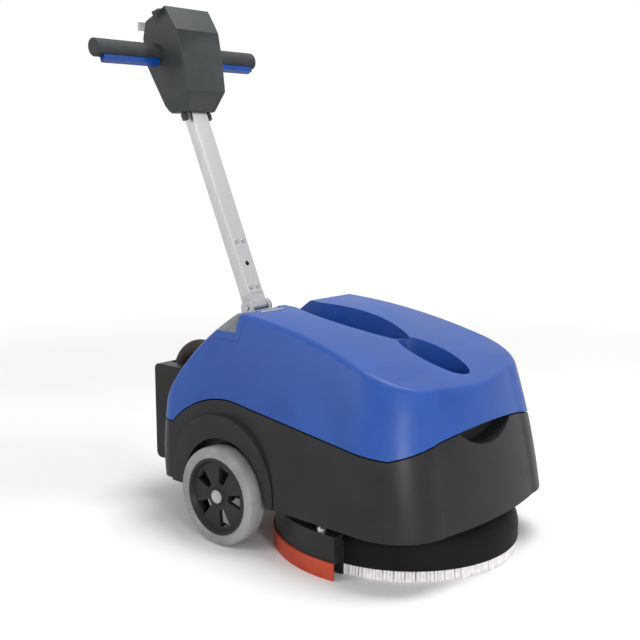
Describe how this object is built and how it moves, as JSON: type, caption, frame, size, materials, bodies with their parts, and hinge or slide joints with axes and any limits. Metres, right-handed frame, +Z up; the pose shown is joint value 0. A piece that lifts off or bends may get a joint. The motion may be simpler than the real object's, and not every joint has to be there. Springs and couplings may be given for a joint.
{
  "type": "floor scrubber machine",
  "caption": "Walk-behind floor scrubber: disc brush under a domed deck, curved squeegee, lift-off tank, folding mast with triggers.",
  "frame": {"origin": "on the floor under the middle of the machine's bounding box", "axes": "+X forward towards the brush end, +Y to the operator's left, +Z up"},
  "size_m": [0.862, 0.514, 0.9865],
  "materials": {
    "blue_tank": "rotomoulded satin",
    "clear_cover": "clear",
    "black_shell": "fine grained",
    "grey_plastic": "fine grained",
    "blue_trigger": "smooth",
    "tube_alu": "satin anodised",
    "steel": "zinc plated",
    "painted_steel": "powder coated",
    "grey_tyre": "matt non-marking rubber",
    "light_plastic": "smooth",
    "white_bristle": "nylon tufts",
    "brush_back": "moulded",
    "red_rubber": "satin",
    "dark_rubber": "matt",
    "battery_case": "moulded"
  },
  "bodies": {
    "chassis": {"chassis_shell": "black_shell", "frame_plate": "painted_steel", "rear_housing": "black_shell", "rear_cover": "black_shell", "charger_socket": "grey_plastic", "deck_shell": "black_shell", "frame_bolts": "steel", "gearbox_housing": "painted_steel", "brush_motor": "painted_steel", "batteries": "battery_case", "vacuum_motor": "painted_steel", "control_box": "grey_plastic", "solenoid_valve": "battery_case", "solution_filter": "light_plastic", "axles": "steel", "axle_blocks": "painted_steel", "mast_bracket": "painted_steel", "hinge_pin": "steel"},
    "clamp": {"clamp_knob": "grey_plastic"},
    "wheel_left": {"wheel_hub_left": "grey_plastic", "tyre_left": "grey_tyre", "wheel_cap_left": "light_plastic"},
    "wheel_right": {"wheel_hub_right": "grey_plastic", "tyre_right": "grey_tyre", "wheel_cap_right": "light_plastic"},
    "brush": {"brush_block": "brush_back", "bristles": "white_bristle", "drive_shaft": "steel"},
    "squeegee": {"squeegee_body": "black_shell", "squeegee_blade_rear": "red_rubber", "squeegee_blade_front": "dark_rubber", "squeegee_knobs": "grey_plastic", "suction_port": "grey_plastic"},
    "tank": {"tank_shell": "blue_tank", "cover_hinge_pin": "steel", "cover_seal": "dark_rubber", "standpipe": "black_shell", "float_cage": "black_shell", "drain_hose": "dark_rubber", "drain_cap": "black_shell"},
    "cover": {"cover_frame": "blue_tank", "cover_window": "clear_cover"},
    "float": {"float_ball": "light_plastic"},
    "mast": {"hinge_block": "tube_alu", "mast_tube": "tube_alu", "mast_screws": "steel", "head_front_shell": "grey_plastic", "head_rear_shell": "grey_plastic", "head_screws": "steel", "control_panel": "light_plastic", "cable_glands": "grey_plastic", "cable_hook": "light_plastic", "grip_left": "grey_plastic", "grip_right": "grey_plastic", "trigger_pins": "steel"},
    "left_trigger": {"trigger_left": "blue_trigger"},
    "right_trigger": {"trigger_right": "blue_trigger"},
    "brush_rocker": {"brush_switch": "grey_plastic"},
    "vacuum_rocker": {"vacuum_switch": "grey_plastic"},
    "flow_dial": {"flow_knob": "grey_plastic"}
  },
  "joints": [
    {"name": "mast_fold", "type": "hinge", "parent": "chassis", "child": "mast", "pos_m": [-0.15, 0, 0.39], "axis": [0, 1, 0], "range_deg": [0, 106]},
    {"name": "left_trigger_squeeze", "type": "hinge", "parent": "mast", "child": "left_trigger", "pos_m": [-0.36299, 0.066, 0.88515], "axis": [0.9157, 0, 0.4019], "range_deg": [0, 4], "stiffness_Nm_per_rad": 2, "springref_deg": -5.73},
    {"name": "right_trigger_squeeze", "type": "hinge", "parent": "mast", "child": "right_trigger", "pos_m": [-0.36299, -0.066, 0.88515], "axis": [-0.9157, 0, -0.4019], "range_deg": [0, 4], "stiffness_Nm_per_rad": 2, "springref_deg": -5.73},
    {"name": "brush_rocker_tip", "type": "hinge", "parent": "mast", "child": "brush_rocker", "pos_m": [-0.36901, -0.044, 0.97599], "axis": [0, 1, 0], "range_deg": [-4, 4]},
    {"name": "vacuum_rocker_tip", "type": "hinge", "parent": "mast", "child": "vacuum_rocker", "pos_m": [-0.36901, 0.04, 0.97599], "axis": [0, 1, 0], "range_deg": [-4, 4]},
    {"name": "flow_dial_turn", "type": "hinge", "parent": "mast", "child": "flow_dial", "pos_m": [-0.36877, 0.01, 0.97544], "axis": [-0.4019, 0, 0.9157], "range_deg": [0, 270]},
    {"name": "clamp_turn", "type": "hinge", "parent": "chassis", "child": "clamp", "pos_m": [-0.15, 0.031, 0.39], "axis": [0, 1, 0], "continuous": true},
    {"name": "wheel_left_spin", "type": "hinge", "parent": "chassis", "child": "wheel_left", "pos_m": [-0.005, 0.238, 0.09], "axis": [0, 1, 0], "continuous": true},
    {"name": "wheel_right_spin", "type": "hinge", "parent": "chassis", "child": "wheel_right", "pos_m": [-0.005, -0.238, 0.09], "axis": [0, 1, 0], "continuous": true},
    {"name": "brush_spin", "type": "hinge", "parent": "chassis", "child": "brush", "pos_m": [0.225, 0, 0.03], "axis": [0, 0, 1], "continuous": true},
    {"name": "squeegee_swing", "type": "hinge", "parent": "chassis", "child": "squeegee", "pos_m": [0.225, 0, 0.05], "axis": [0, 0, 1], "range_deg": [-12, 12]},
    {"name": "tank_lift", "type": "slide", "parent": "chassis", "child": "tank", "axis": [0, 0, -1], "range_m": [-0.25, 0]},
    {"name": "cover_open", "type": "hinge", "parent": "tank", "child": "cover", "pos_m": [-0.01, -0.1, 0.4079], "axis": [0, 1, 0], "range_deg": [0, 95]},
    {"name": "float_rise", "type": "slide", "parent": "tank", "child": "float", "axis": [0, 0, 1], "range_m": [0, 0.018]}
  ]
}
